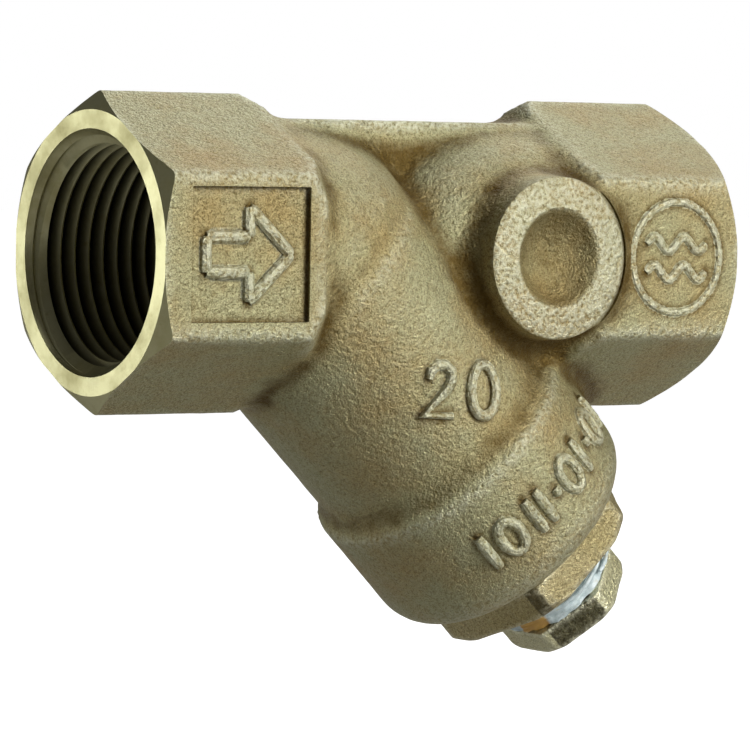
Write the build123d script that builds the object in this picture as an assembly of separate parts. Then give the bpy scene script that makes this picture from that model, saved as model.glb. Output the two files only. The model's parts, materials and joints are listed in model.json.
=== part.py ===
from build123d import *
import math
import os

# A 3/4 inch bronze Y strainer. Water enters at the inlet, meets a sloping partition with a round
# seat, passes into the end of a tubular screen, out through its wall and away along the outlet.
# The screen is held in the 45 degree branch by a screwed cap, which carries a blow-off plug.
# Millimetres. The run lies along X from inlet to outlet, Z is up, and the origin is the centre of
# the inlet thread where its first full turn starts.

# Run: end faces, hexagons and waterway
thread_entry = 2.2           # depth of the countersink in front of each pipe thread
run_length = 76.8            # face to face
hex_flats = 30.4             # across flats of both end hexagons
hex_edge_round = 1.0
inlet_hex_length = 20.3
outlet_hex_length = 19.6
hex_corner_length = 1.9      # length over which the corners of a hexagon are turned away
pipe_thread_radius = 11.75   # crest of the tapped 3/4-14 pipe thread
pipe_thread_length = 14.6
countersink_radius = 13.3
waterway_radius = 9.6
barrel_radius = 14.6
neck_radius = 8.2            # barrel radius where the two domes meet
neck_position = 36.6         # distance of that place from the inlet face
dome_length = 15.0
casting_wall = 4.4

# Web on top of the run
web_height = 14.8            # top of the web above the run axis
web_thickness = 9.0

# Branch and collar
branch_angle = 45.0
branch_crossing = 25.07      # distance from the inlet face to where the branch axis crosses the run
branch_start = 2.5           # stations along the branch are measured from that crossing
branch_radius = 14.7
collar_start = 29.4
collar_radius = 16.05
collar_ramp = 1.4
collar_rim_round = 3.6
collar_end = 45.0
chamber_radius = 11.2

# Partition and screen seat
partition_start = 5.0
partition_thickness = 3.0
seat_hole_radius = 6.6
seat_depth = 1.6

# Screen
screen_radius = 8.0
screen_wall = 0.5
perforation_radius = 1.0
perforations_around = 12
perforation_rows = 10
liner_wall = 0.2
band_length = 4.0
band_wall = 0.4
screen_clearance = 0.2       # round each band in its seat, and at the end of the screen

# Retainer cap and gasket
cap_flats = 23.8
cap_hex_length = 4.2
cap_clocking = 31.5          # degrees that a corner of the hexagon is turned from facing the front
cap_thread_radius = 9.9
cap_thread_length = 10.0
cap_recess_depth = 6.6
gasket_outer_radius = 11.4
gasket_thickness = 1.3
gasket_recess_depth = 1.2
thread_clearance = 0.1       # radial, between each pair of screw threads

# Blow-off plug and its thread tape
plug_flats = 13.9
plug_hex_length = 3.3
plug_clocking = 0.0
plug_thread_radius = 6.1
plug_standoff = 4.7          # bare thread between the cap and the plug's hexagon
plug_engagement = 5.6
plug_core_radius = 3.4
plug_core_stop = 2.5         # solid metal left between the core and the hexagon
tape_wall = 0.3

# Boss on the outlet barrel
boss_radius = 8.95
boss_position = 50.85        # from the inlet face
boss_height = 16.2           # face above the run axis
dimple_radius = 5.4
dimple_depth = 3.0

# Cast marks
panel_width = 15.2
panel_height = 14.4
panel_depth = 0.6
panel_round = 1.2
mark_height = 0.4
arrow_length = 11.0
arrow_shaft = 2.6
arrow_head = 6.6
mark_ring_radius = 6.5
mark_ring_width = 0.7

inlet_face = -thread_entry
outlet_face = inlet_face + run_length
half_flats = hex_flats / 2
hex_corner_radius = hex_flats / math.sqrt(3)
large = 4 * run_length


def branch_plane(station):
    """A plane square to the branch axis, with its x axis towards the front of the body."""
    angle = math.radians(branch_angle)
    direction = Vector(math.cos(angle), 0, -math.sin(angle))
    crossing = Vector(inlet_face + branch_crossing, 0, 0)
    return Plane(origin=crossing + direction * station, x_dir=(0, -1, 0), z_dir=direction)


def on_branch(shape):
    return branch_plane(0) * shape


def turned(outline, axis):
    """Revolve a closed list of (along, radius) points about the axis."""
    if axis == Axis.X:
        points = [(along, radius) for along, radius in outline]
        return revolve(Plane.XY * make_face(Polyline(*points, close=True)), Axis.X)
    points = [(radius, along) for along, radius in outline]
    return revolve(Plane.XZ * make_face(Polyline(*points, close=True)), Axis.Z)


def tube(start, end, outer, inner=0):
    """A round bar or ring along Z between two stations."""
    ring = Circle(outer) - Circle(inner) if inner else Circle(outer)
    return Pos(0, 0, start) * extrude(ring, end - start)


def run_bar(start, end, radius):
    """A round bar along the run between two places on X."""
    return extrude(Plane.YZ.offset(start) * Circle(radius), end - start)


def end_hexagon(start, length):
    """One wrench hexagon of the body, corners up and down, with turned ends."""
    section = RegularPolygon(half_flats, 6, major_radius=False)
    section = fillet(section.vertices(), hex_edge_round)
    bar = extrude(Plane.YZ.offset(start) * Rot(0, 0, 30) * section, length)
    rim = half_flats + (hex_corner_radius - half_flats) * 0.2
    full = hex_corner_radius + 1
    slope = hex_corner_length * (full - rim) / (hex_corner_radius - rim)
    end = start + length
    outline = [(start, 0), (start, rim), (start + slope, full), (end - slope, full), (end, rim), (end, 0)]
    return bar & turned(outline, Axis.X)


def dome(base, tip, base_radius, tip_radius):
    """A barrel end that narrows from base to tip along a rounded outline."""
    bulge = 0.55
    middle = (base + (tip - base) * bulge, tip_radius + (base_radius - tip_radius) * 0.68)
    curve = ThreePointArc((base, base_radius), middle, (tip, tip_radius))
    edges = curve + Polyline((tip, tip_radius), (tip, 0), (base, 0), (base, base_radius))
    return revolve(make_face(edges), Axis.X)


def run_barrel(shrink):
    """Both domed barrels between the hexagons; shrink gives the waterway inside them."""
    neck = inlet_face + neck_position
    base = barrel_radius - shrink
    tip = neck_radius - shrink
    inlet_base = neck - dome_length
    outlet_base = neck + dome_length
    inlet_side = run_bar(inlet_face + hex_corner_length, inlet_base, base)
    outlet_side = run_bar(outlet_base, outlet_face - hex_corner_length, base)
    return [inlet_side + dome(inlet_base, neck, base, tip), outlet_side + dome(outlet_base, neck, base, tip)]


def web():
    start = inlet_face + inlet_hex_length - hex_corner_length
    end = outlet_face - outlet_hex_length + hex_corner_length
    middle = (start + end) / 2
    return Pos(middle, 0, web_height / 2) * Box(end - start, web_thickness, web_height)


def branch_outside():
    """The branch with its collar, whose lower rim is well rounded."""
    flat = collar_radius - collar_rim_round
    rim = RadiusArc((collar_radius, collar_end - collar_rim_round), (flat, collar_end), -collar_rim_round)
    sides = Polyline(
        (flat, collar_end),
        (0, collar_end),
        (0, branch_start),
        (branch_radius, branch_start),
        (branch_radius, collar_start - collar_ramp),
        (collar_radius, collar_start),
        (collar_radius, collar_end - collar_rim_round),
    )
    return on_branch(revolve(Plane.XZ * make_face(rim + sides), Axis.Z))


def boss():
    root = waterway_radius * 0.6
    plane = Plane(origin=(inlet_face + boss_position, -root, 0), z_dir=(0, -1, 0))
    return extrude(plane * Circle(boss_radius), boss_height - root)


def boss_dimple():
    plane = Plane(origin=(inlet_face + boss_position, -boss_height, 0), z_dir=(0, -1, 0))
    cone = Cone(dimple_radius * 0.12, dimple_radius, dimple_depth, align=(Align.CENTER, Align.CENTER, Align.MAX))
    return plane * cone


def behind(station):
    """Everything on the inlet side of a plane square to the branch."""
    return branch_plane(station) * Pos(0, 0, -large / 2) * Box(large, large, large)


def waterway():
    """The inlet passage above the partition and the outlet passage below it."""
    inlet_side, outlet_side = run_barrel(casting_wall)
    inlet_side += run_bar(inlet_face, inlet_face + dome_length, waterway_radius)
    outlet_side += run_bar(outlet_face - dome_length, outlet_face, waterway_radius)
    upstream = inlet_side & behind(partition_start)
    downstream = outlet_side - behind(partition_start + partition_thickness)
    return [upstream, downstream]


def pipe_thread_hole(face, inward):
    """The tapped hole of one end: a countersink and the crest cylinder of its thread."""
    crest = [
        (face - inward, 0),
        (face - inward, countersink_radius + 1),
        (face, countersink_radius),
        (face + inward * thread_entry, pipe_thread_radius),
        (face + inward * (thread_entry + pipe_thread_length), pipe_thread_radius),
        (face + inward * (thread_entry + pipe_thread_length + pipe_thread_radius - waterway_radius), waterway_radius),
        (face + inward * (thread_entry + pipe_thread_length + pipe_thread_radius - waterway_radius), 0),
    ]
    return turned(crest, Axis.X)


def branch_inside():
    """Screen chamber, cap thread, gasket recess and the round seat in the partition."""
    chamber_start = partition_start + partition_thickness
    thread_start = collar_end - gasket_recess_depth - cap_thread_length
    band_radius = screen_radius + band_wall
    pieces = tube(chamber_start, thread_start, chamber_radius)
    pieces += tube(thread_start, collar_end + 1, cap_thread_radius + thread_clearance)
    pieces += tube(collar_end - gasket_recess_depth, collar_end + 1, gasket_outer_radius + thread_clearance)
    pieces += tube(partition_start - 1, chamber_start + 1, seat_hole_radius)
    pieces += tube(chamber_start - seat_depth, chamber_start + 1, band_radius + screen_clearance)
    return on_branch(pieces)


def front_plane(x, height):
    """A plane in front of the body, facing the viewer, with its x axis along the run."""
    return Plane(origin=(x, -height, 0), x_dir=(1, 0, 0), z_dir=(0, -1, 0))


def flow_arrow():
    neck = arrow_length / 2 - arrow_head / 2
    points = [
        (-arrow_length / 2, -arrow_shaft / 2),
        (neck, -arrow_shaft / 2),
        (neck, -arrow_head / 2),
        (arrow_length / 2, 0),
        (neck, arrow_head / 2),
        (neck, arrow_shaft / 2),
        (-arrow_length / 2, arrow_shaft / 2),
    ]
    return make_face(Polyline(*points, close=True))


def body():
    shape = end_hexagon(inlet_face, inlet_hex_length)
    shape += end_hexagon(outlet_face - outlet_hex_length, outlet_hex_length)
    for barrel in run_barrel(0):
        shape += barrel
    shape += web()
    shape += branch_outside()
    shape += boss()
    for passage in waterway():
        shape -= passage
    shape -= pipe_thread_hole(inlet_face, 1)
    shape -= pipe_thread_hole(outlet_face, -1)
    shape -= branch_inside()
    shape -= boss_dimple()
    panel = RectangleRounded(panel_width, panel_height, panel_round)
    panel_floor = front_plane(inlet_face + inlet_hex_length / 2, half_flats - panel_depth)
    shape -= extrude(panel_floor * panel, panel_depth + 1)
    shape += extrude(panel_floor * flow_arrow(), mark_height)
    ring_face = front_plane(outlet_face - outlet_hex_length / 2 + mark_ring_width, half_flats - mark_height)
    ring = Circle(mark_ring_radius) - Circle(mark_ring_radius - mark_ring_width)
    shape += extrude(ring_face * ring, 2 * mark_height)
    return shape


def hexagon_head(flats, start, length, clocking):
    """A cap or plug head along Z whose outer corners are turned away."""
    section = RegularPolygon(flats / 2, 6, major_radius=False)
    bar = Pos(0, 0, start) * Rot(0, 0, clocking) * extrude(section, length)
    corner = flats / math.sqrt(3)
    rim = flats / 2 + (corner - flats / 2) * 0.2
    end = start + length
    drop = corner - rim
    outline = [(start, 0), (start, corner + 1), (end - drop, corner), (end, rim), (end, 0)]
    return bar & turned(outline, Axis.Z)


cap_face = collar_end - gasket_recess_depth + gasket_thickness
cap_outer_face = cap_face + cap_hex_length
cap_inner_end = cap_face - cap_thread_length
cap_recess_floor = cap_inner_end + cap_recess_depth
plug_hex_start = cap_outer_face + plug_standoff
plug_inner_end = cap_outer_face - plug_engagement
plug_hole_radius = plug_thread_radius + tape_wall + 2 * thread_clearance
seat_floor = partition_start + partition_thickness - seat_depth
screen_start = seat_floor + screen_clearance
screen_end = cap_recess_floor - screen_clearance


def retainer_cap():
    shape = hexagon_head(cap_flats, cap_face, cap_hex_length, cap_clocking)
    shape += tube(cap_inner_end, cap_face, cap_thread_radius)
    recess_radius = screen_radius + band_wall + screen_clearance
    shape -= tube(cap_inner_end - 1, cap_recess_floor, recess_radius)
    shape -= tube(cap_inner_end, cap_outer_face + 1, plug_hole_radius)
    return on_branch(shape)


def cap_gasket():
    start = collar_end - gasket_recess_depth
    return on_branch(tube(start, start + gasket_thickness, gasket_outer_radius, cap_thread_radius + thread_clearance))


def blow_off_plug():
    shape = hexagon_head(plug_flats, plug_hex_start, plug_hex_length, plug_clocking)
    shape += tube(plug_inner_end, plug_hex_start, plug_thread_radius)
    shape -= tube(plug_inner_end - 1, plug_hex_start - plug_core_stop, plug_core_radius)
    return on_branch(shape)


def plug_thread_tape():
    inner = plug_thread_radius + thread_clearance
    return on_branch(tube(plug_inner_end + 0.6, plug_hex_start - thread_clearance, inner + tape_wall, inner))


def screen_perforated_tube():
    shape = tube(screen_start, screen_end, screen_radius, screen_radius - screen_wall)
    first = screen_start + band_length + 2 * perforation_radius
    last = screen_end - band_length - 2 * perforation_radius
    step = (last - first) / (perforation_rows - 1)
    turn = 360 / perforations_around
    holes = []
    for row in range(perforation_rows):
        for place in range(perforations_around):
            angle = turn * (place + 0.5 * (row % 2))
            punch = Rot(0, 0, angle) * Pos(screen_radius, 0, first + row * step) * Rot(0, 90, 0)
            holes.append(punch * Cylinder(perforation_radius, 4 * screen_wall))
    return on_branch(shape - holes)


def screen_mesh_liner():
    outer = screen_radius - screen_wall - 0.05
    return on_branch(tube(screen_start + 0.5, screen_end - 0.5, outer, outer - liner_wall))


def screen_band(start):
    inner = screen_radius
    return on_branch(tube(start, start + band_length, inner + band_wall, inner))


def screen_top_band():
    return screen_band(screen_start)


def screen_bottom_band():
    return screen_band(screen_end - band_length)


nodes = {
    "body": body,
    "retainer_cap": retainer_cap,
    "cap_gasket": cap_gasket,
    "blow_off_plug": blow_off_plug,
    "plug_thread_tape": plug_thread_tape,
    "screen_perforated_tube": screen_perforated_tube,
    "screen_mesh_liner": screen_mesh_liner,
    "screen_top_band": screen_top_band,
    "screen_bottom_band": screen_bottom_band,
}

os.makedirs("parts", exist_ok=True)
for name, make in nodes.items():
    export_step(make(), "parts/" + name + ".step")
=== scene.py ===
# %% Load the frame
import json
import math
import random
import bpy
import bmesh
from mathutils import Matrix, Vector, kdtree

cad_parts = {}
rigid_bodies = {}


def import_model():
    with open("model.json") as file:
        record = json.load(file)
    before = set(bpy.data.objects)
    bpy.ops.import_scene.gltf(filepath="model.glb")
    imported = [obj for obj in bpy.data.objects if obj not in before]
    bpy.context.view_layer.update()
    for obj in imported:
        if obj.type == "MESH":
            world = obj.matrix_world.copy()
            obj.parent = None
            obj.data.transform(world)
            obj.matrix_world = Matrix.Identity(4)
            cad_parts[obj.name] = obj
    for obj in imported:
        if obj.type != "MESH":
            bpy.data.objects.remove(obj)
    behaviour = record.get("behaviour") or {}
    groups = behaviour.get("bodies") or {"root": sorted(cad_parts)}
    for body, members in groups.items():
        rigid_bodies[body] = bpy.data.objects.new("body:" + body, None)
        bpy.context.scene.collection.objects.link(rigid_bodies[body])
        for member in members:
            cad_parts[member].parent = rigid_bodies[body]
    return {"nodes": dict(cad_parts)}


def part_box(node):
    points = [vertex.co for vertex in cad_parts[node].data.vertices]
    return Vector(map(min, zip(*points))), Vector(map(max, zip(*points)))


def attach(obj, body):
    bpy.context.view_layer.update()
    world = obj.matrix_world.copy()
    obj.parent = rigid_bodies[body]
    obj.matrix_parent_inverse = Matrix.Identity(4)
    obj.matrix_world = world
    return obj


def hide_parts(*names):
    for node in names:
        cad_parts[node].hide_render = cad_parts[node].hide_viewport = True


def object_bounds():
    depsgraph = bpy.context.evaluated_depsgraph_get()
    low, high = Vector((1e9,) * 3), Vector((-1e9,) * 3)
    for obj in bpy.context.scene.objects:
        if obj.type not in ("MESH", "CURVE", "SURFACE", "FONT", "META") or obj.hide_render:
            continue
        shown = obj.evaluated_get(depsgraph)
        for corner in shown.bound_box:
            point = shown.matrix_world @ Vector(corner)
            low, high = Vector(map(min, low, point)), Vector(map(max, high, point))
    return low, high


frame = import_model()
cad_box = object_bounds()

print("nodes", sorted(frame["nodes"]))

# %% [markdown]
# ## Sizes
# A strainer is turned and tapped about two axes, so two lines fix almost everything: the run, which is
# the X axis, and the branch axis, which leaves the run at 45 degrees. Distances along the run are
# counted from the inlet face, and distances along the branch, called stations, from where the two axes
# cross. All the sizes are in metres, so `MM` turns workshop numbers into metres once, here.

# %% Sizes shared by the pieces
MM = 0.001
CROSSING = 25.07 * MM
BRANCH_TURN = math.radians(45)

THREAD_ENTRY = 2.2 * MM
RUN_LENGTH = 76.8 * MM
INLET_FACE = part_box("body")[0].x
OUTLET_FACE = INLET_FACE + RUN_LENGTH

HEX_FLATS = 30.4 * MM
HALF_FLATS = HEX_FLATS / 2
HEX_CORNER = HEX_FLATS / math.sqrt(3)
INLET_HEX = 20.3 * MM
OUTLET_HEX = 19.6 * MM

COLLAR_END = 45.0 * MM
CAP_FACE = 45.1 * MM
CAP_OUTER_FACE = CAP_FACE + 4.2 * MM
PLUG_HEX_START = CAP_OUTER_FACE + 4.7 * MM
print("inlet face at", round(INLET_FACE, 5), "outlet face at", round(OUTLET_FACE, 5))

# %% [markdown]
# ## Finishes
# Everything here is metal, and what tells one piece from another is how it was made. A sand casting is
# grainy and stained in its hollows, a turned face shines in rings, and steel sheet is brushed. The
# patterns read Object coordinates, in metres, so a noise of scale 3000 makes grains of a third of a
# millimetre. Each helper below adds one kind of node, and the finishes are built from them.

# %% Helpers for materials
def finish(name):
    material = bpy.data.materials.new(name)
    material.use_nodes = True
    nodes = material.node_tree.nodes
    place = nodes.new("ShaderNodeTexCoord")
    return material, nodes["Principled BSDF"], place.outputs["Object"]


def add_node(material, kind):
    return material.node_tree.nodes.new("ShaderNode" + kind)


def link(material, source, target):
    material.node_tree.links.new(source, target)


def noise(material, place, scale, detail=3.0, roughness=0.5):
    node = add_node(material, "TexNoise")
    node.inputs["Scale"].default_value = scale
    node.inputs["Detail"].default_value = detail
    node.inputs["Roughness"].default_value = roughness
    link(material, place, node.inputs["Vector"])
    return node.outputs["Fac"]


def ramp(material, value, stops):
    """Turn a number into colours, from (position, colour) stops."""
    node = add_node(material, "ValToRGB")
    elements = node.color_ramp.elements
    while len(elements) < len(stops):
        elements.new(0.5)
    for element, (position, colour) in zip(elements, stops):
        element.position = position
        element.color = (*colour, 1) if len(colour) == 3 else colour
    link(material, value, node.inputs["Fac"])
    return node.outputs["Color"]


def levels(material, value, low, high, to_low=0.0, to_high=1.0):
    """Stretch a number from one range to another, and clamp it."""
    node = add_node(material, "MapRange")
    for socket, number in zip(("From Min", "From Max", "To Min", "To Max"), (low, high, to_low, to_high)):
        node.inputs[socket].default_value = number
    link(material, value, node.inputs["Value"])
    return node.outputs["Result"]


def calculate(material, operation, first, second):
    node = add_node(material, "Math")
    node.operation = operation
    for socket, value in zip(node.inputs, (first, second)):
        if isinstance(value, (int, float)):
            socket.default_value = value
        else:
            link(material, value, socket)
    return node.outputs["Value"]


def blend_colours(material, amount, first, second, kind="MIX"):
    node = add_node(material, "Mix")
    node.data_type = "RGBA"
    node.blend_type = kind
    sockets = [socket for socket in node.inputs if socket.type == "RGBA"]
    for socket, value in zip(sockets, (first, second)):
        if isinstance(value, tuple):
            socket.default_value = (*value, 1)
        else:
            link(material, value, socket)
    if isinstance(amount, (int, float)):
        node.inputs["Factor"].default_value = amount
    else:
        link(material, amount, node.inputs["Factor"])
    return [socket for socket in node.outputs if socket.type == "RGBA"][0]


def attribute(material, name):
    node = add_node(material, "Attribute")
    node.attribute_name = name
    return node.outputs["Fac"]


def bump(material, height, depth, strength=1.0, below=None):
    """A bump node; depth is the height in metres that a full step of the pattern stands for."""
    node = add_node(material, "Bump")
    node.inputs["Strength"].default_value = strength
    node.inputs["Distance"].default_value = depth
    link(material, height, node.inputs["Height"])
    if below is not None:
        link(material, below, node.inputs["Normal"])
    return node.outputs["Normal"]


# %% [markdown]
# ## Sand-cast bronze
# Bronze poured in green sand comes out as a skin of tiny grains. The grain is three noises, for coarse
# sand, fine sand and slow waviness. The colour goes from a greenish grey where it was shot-blasted to
# gold and brown, where oxide and polishing dust stayed in patches. In the hollows, where it is strongest,
# the brown is partly oxide and partly painted shade. The fine noise changes the roughness too, so single
# grains glint, because blasted metal is never evenly rough.

# %% Sand-cast bronze
def sand_cast(name, pale, warm, stain_and_shade, edge, rough=0.46, grain=1.0):
    material, shader, place = finish(name)
    patches = levels(material, noise(material, place, 95, 4, 0.6), 0.40, 0.66)
    colour = blend_colours(material, patches, pale, warm)
    fine = noise(material, place, 5200, 3, 0.6)
    sand = noise(material, place, 1900, 4, 0.62)
    specks = [(0.34, (0.42, 0.37, 0.28)), (0.50, (0.90, 0.89, 0.87)), (0.64, (1.0, 1.0, 1.0))]
    speckle = ramp(material, fine, specks)
    colour = blend_colours(material, 0.85, colour, speckle, "MULTIPLY")
    pits = levels(material, sand, 0.36, 0.47, 1.0, 0.0)
    colour = blend_colours(material, calculate(material, "MULTIPLY", pits, 0.22), colour, stain_and_shade)
    # The hollows take the stain colour: partly oxide, partly painted shade.
    ragged = levels(material, noise(material, place, 700, 4, 0.7), 0.30, 0.70, -0.18, 0.18)
    dirt_and_shade = calculate(material, "ADD", attribute(material, "hollow"), ragged)
    dirt_and_shade = levels(material, dirt_and_shade, 0.16, 1.05, 0.0, 0.95)
    colour = blend_colours(material, dirt_and_shade, colour, stain_and_shade)
    worn = calculate(material, "MULTIPLY", attribute(material, "edge"), levels(material, sand, 0.35, 0.6))
    colour = blend_colours(material, calculate(material, "MULTIPLY", worn, 0.8), colour, edge)
    link(material, colour, shader.inputs["Base Color"])
    shader.inputs["Metallic"].default_value = 0.82
    rough_grain = levels(material, fine, 0.3, 0.7, rough + 0.16, rough - 0.14)
    link(material, rough_grain, shader.inputs["Roughness"])
    waves = bump(material, noise(material, place, 300, 3, 0.6), 0.00030, 0.8)
    coarse = bump(material, sand, 0.00038 * grain, 1.0, waves)
    link(material, bump(material, fine, 0.00009 * grain, 1.0, coarse), shader.inputs["Normal"])
    return material


cast_bronze = sand_cast(
    "sand_cast_bronze", pale=(0.43, 0.41, 0.235), warm=(0.42, 0.33, 0.15),
    stain_and_shade=(0.105, 0.063, 0.010), edge=(0.68, 0.69, 0.54))
cap_bronze = sand_cast(
    "cast_cap_bronze", pale=(0.50, 0.43, 0.235), warm=(0.42, 0.35, 0.16),
    stain_and_shade=(0.055, 0.040, 0.008), edge=(0.64, 0.60, 0.42), rough=0.42)
plug_brass = sand_cast(
    "cast_plug_brass", pale=(0.66, 0.64, 0.40), warm=(0.55, 0.50, 0.27),
    stain_and_shade=(0.030, 0.024, 0.008), edge=(0.75, 0.74, 0.56), rough=0.36, grain=0.8)
print("cast finishes", cast_bronze.name, cap_bronze.name, plug_brass.name)

# %% [markdown]
# ## Machined bronze, tape, gasket and steel
# A tool leaves rings about its axis, so the turned finish uses the Wave texture in its ring form about
# X, far too fine to count, with a slow noise for stains. The tape is a soft white film, and the screen
# is rolled steel sheet, brushed along its axis.

# %% Machined bronze, tape, gasket and steel
def turned_metal(name, pale, deep, rough):
    material, shader, place = finish(name)
    rings = add_node(material, "TexWave")
    rings.wave_type = "RINGS"
    rings.rings_direction = "X"
    rings.inputs["Scale"].default_value = 2300
    rings.inputs["Distortion"].default_value = 3.0
    rings.inputs["Detail"].default_value = 2
    link(material, place, rings.inputs["Vector"])
    stains = levels(material, noise(material, place, 160, 5, 0.65), 0.42, 0.70)
    colour = blend_colours(material, stains, pale, deep)
    spots = levels(material, noise(material, place, 900, 3, 0.6), 0.60, 0.72, 0.0, 0.6)
    colour = blend_colours(material, spots, colour, deep)
    # The hollow attribute turns the colour almost black: oil and painted shade in grooves and inside corners.
    oil_and_shade = blend_colours(material, attribute(material, "hollow"), colour, (0.012, 0.009, 0.004))
    link(material, oil_and_shade, shader.inputs["Base Color"])
    shader.inputs["Metallic"].default_value = 0.85
    link(material, levels(material, stains, 0, 1, rough, rough + 0.14), shader.inputs["Roughness"])
    scratches = bump(material, noise(material, place, 2200, 2, 0.5), 0.00002, 0.6)
    link(material, bump(material, rings.outputs["Fac"], 0.000003, 0.6, scratches), shader.inputs["Normal"])
    return material


machined_bronze = turned_metal("machined_bronze", (0.56, 0.53, 0.30), (0.42, 0.38, 0.18), 0.36)

thread_tape, shader, place = finish("wound_thread_tape")
folds = noise(thread_tape, place, 900, 4, 0.6)
soiled = levels(thread_tape, noise(thread_tape, place, 330, 3, 0.6), 0.61, 0.68, 0.0, 0.7)
tape_colour = ramp(thread_tape, folds, [(0.3, (0.32, 0.40, 0.42)), (0.7, (0.66, 0.74, 0.76))])
film = blend_colours(thread_tape, soiled, tape_colour, (0.50, 0.46, 0.34))
sealed = blend_colours(thread_tape, attribute(thread_tape, "hollow"), film, (0.62, 0.34, 0.04))
link(thread_tape, sealed, shader.inputs["Base Color"])
shader.inputs["Roughness"].default_value = 0.42
shader.inputs["Subsurface Weight"].default_value = 0.15
shader.inputs["Subsurface Radius"].default_value = (0.001, 0.001, 0.001)
link(thread_tape, bump(thread_tape, folds, 0.0002, 0.7), shader.inputs["Normal"])

gasket_film, shader, place = finish("gasket_film")
cloudy = noise(gasket_film, place, 500, 4, 0.6)
film_colour = ramp(gasket_film, cloudy, [(0.3, (0.62, 0.61, 0.56)), (0.7, (0.78, 0.77, 0.73))])
link(gasket_film, film_colour, shader.inputs["Base Color"])
shader.inputs["Roughness"].default_value = 0.55
link(gasket_film, bump(gasket_film, cloudy, 0.00004, 0.6), shader.inputs["Normal"])


def steel_sheet(name, pale, deep, stretch):
    material, shader, place = finish(name)
    mapping = add_node(material, "Mapping")
    mapping.inputs["Rotation"].default_value = (0, -BRANCH_TURN, 0)
    mapping.inputs["Scale"].default_value = (1, stretch, stretch)
    link(material, place, mapping.inputs["Vector"])
    brushed = noise(material, mapping.outputs["Vector"], 260, 3, 0.6)
    colour = ramp(material, brushed, [(0.3, deep), (0.7, pale)])
    link(material, colour, shader.inputs["Base Color"])
    shader.inputs["Metallic"].default_value = 0.95
    link(material, levels(material, brushed, 0.3, 0.7, 0.22, 0.42), shader.inputs["Roughness"])
    link(material, bump(material, brushed, 0.00002, 0.7), shader.inputs["Normal"])
    return material


screen_steel = steel_sheet("brushed_screen_steel", (0.62, 0.62, 0.60), (0.45, 0.45, 0.44), 12)
mesh_steel = steel_sheet("woven_mesh_steel", (0.50, 0.50, 0.49), (0.22, 0.22, 0.22), 2)


def coat(piece, material):
    piece.data.materials.clear()
    piece.data.materials.append(material)
    return piece


# %% [markdown]
# ## Working by operator
# The same few moves come back for every piece: select only one object, apply its place, apply a
# modifier, cut one solid with another. Wrapping each move in a short function keeps the cells below
# about the object. Everything is deselected first, because an operator acts on all that is selected.

# %% Helpers for selecting and applying
def only(piece):
    bpy.ops.object.select_all(action="DESELECT")
    bpy.context.view_layer.objects.active = piece
    piece.select_set(True)
    return piece


def named(name):
    piece = bpy.context.active_object
    piece.name = name
    piece.data.name = name
    return piece


def apply_place(piece):
    only(piece)
    bpy.ops.object.transform_apply(location=True, rotation=True, scale=True)
    return piece


def apply_modifier(piece, kind, **settings):
    only(piece)
    modifier = piece.modifiers.new(kind.title(), kind)
    for setting, value in settings.items():
        setattr(modifier, setting, value)
    bpy.ops.object.modifier_apply(modifier=modifier.name)
    return piece


def open_mesh(piece, kind="VERT", selected="SELECT"):
    """Enter edit mode on one piece, with everything or nothing selected."""
    only(piece)
    bpy.ops.object.mode_set(mode="EDIT")
    bpy.ops.mesh.select_mode(type=kind)
    bpy.ops.mesh.select_all(action=selected)


def block(name, size, middle):
    bpy.ops.object.select_all(action="DESELECT")
    bpy.ops.mesh.primitive_cube_add(size=1)
    piece = named(name)
    piece.scale = size
    piece.location = middle
    return apply_place(piece)


def remeshed(piece, voxel):
    piece.data.remesh_voxel_size = voxel
    only(piece)
    bpy.ops.object.voxel_remesh()
    return piece


def smooth_shaded(piece, degrees):
    """Shade smooth, but keep the edges that are sharper than an angle."""
    only(piece)
    bpy.ops.object.shade_smooth_by_angle(angle=math.radians(degrees))


def combine(piece, tool, operation, crossing_itself=False):
    """Add, cut or intersect two closed solids, then throw the tool away.

    The cut is made with both solids a thousand times larger, because in metres the cuts are so fine
    that rounding can leave gaps.
    """
    for solid in (piece, tool):
        solid.data.transform(Matrix.Scale(1000, 4))
    apply_modifier(
        piece, "BOOLEAN", object=tool, operation=operation, solver="EXACT",
        use_self=crossing_itself, material_mode="TRANSFER")
    piece.data.transform(Matrix.Scale(0.001, 4))
    bpy.data.objects.remove(tool)
    return piece


def joined(pieces, name):
    only(pieces[0])
    for piece in pieces[1:]:
        piece.select_set(True)
    bpy.ops.object.join()
    return named(name)


def report(piece):
    corners = [piece.matrix_world @ Vector(corner) for corner in piece.bound_box]
    size = [round((max(c[i] for c in corners) - min(c[i] for c in corners)) / MM, 1) for i in range(3)]
    print(piece.name, "faces", len(piece.data.polygons), "size in mm", size)


bpy.ops.object.select_all(action="DESELECT")

# %% [markdown]
# ## Turning on a lathe
# Most of a strainer is turned. A lathe shape starts as its outline: one corner of a plane is kept,
# extruded from point to point, and swept about the axis. Spin could do that too, but the Screw modifier
# also advances along the axis as it turns, so the same helper makes plain turned parts and threads.
# Every outline is drawn along X, as if the part lay on the run, and is moved to its place afterwards.

# %% Helpers for turned shapes
def outline(name, points):
    """A wire through (along, radius) points in the XY plane, drawn by extruding one vertex."""
    bpy.ops.object.select_all(action="DESELECT")
    bpy.ops.mesh.primitive_plane_add(size=MM)
    piece = named(name)
    bpy.ops.object.mode_set(mode="EDIT")
    bpy.ops.mesh.select_mode(type="VERT")
    bpy.ops.mesh.select_all(action="SELECT")
    bpy.ops.mesh.merge(type="CENTER")
    bpy.ops.transform.translate(value=(points[0][0], points[0][1], 0))
    for before, after in zip(points, points[1:]):
        step = (after[0] - before[0], after[1] - before[1], 0)
        bpy.ops.mesh.extrude_vertices_move(TRANSFORM_OT_translate={"value": step})
    bpy.ops.object.mode_set(mode="OBJECT")
    return piece


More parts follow.
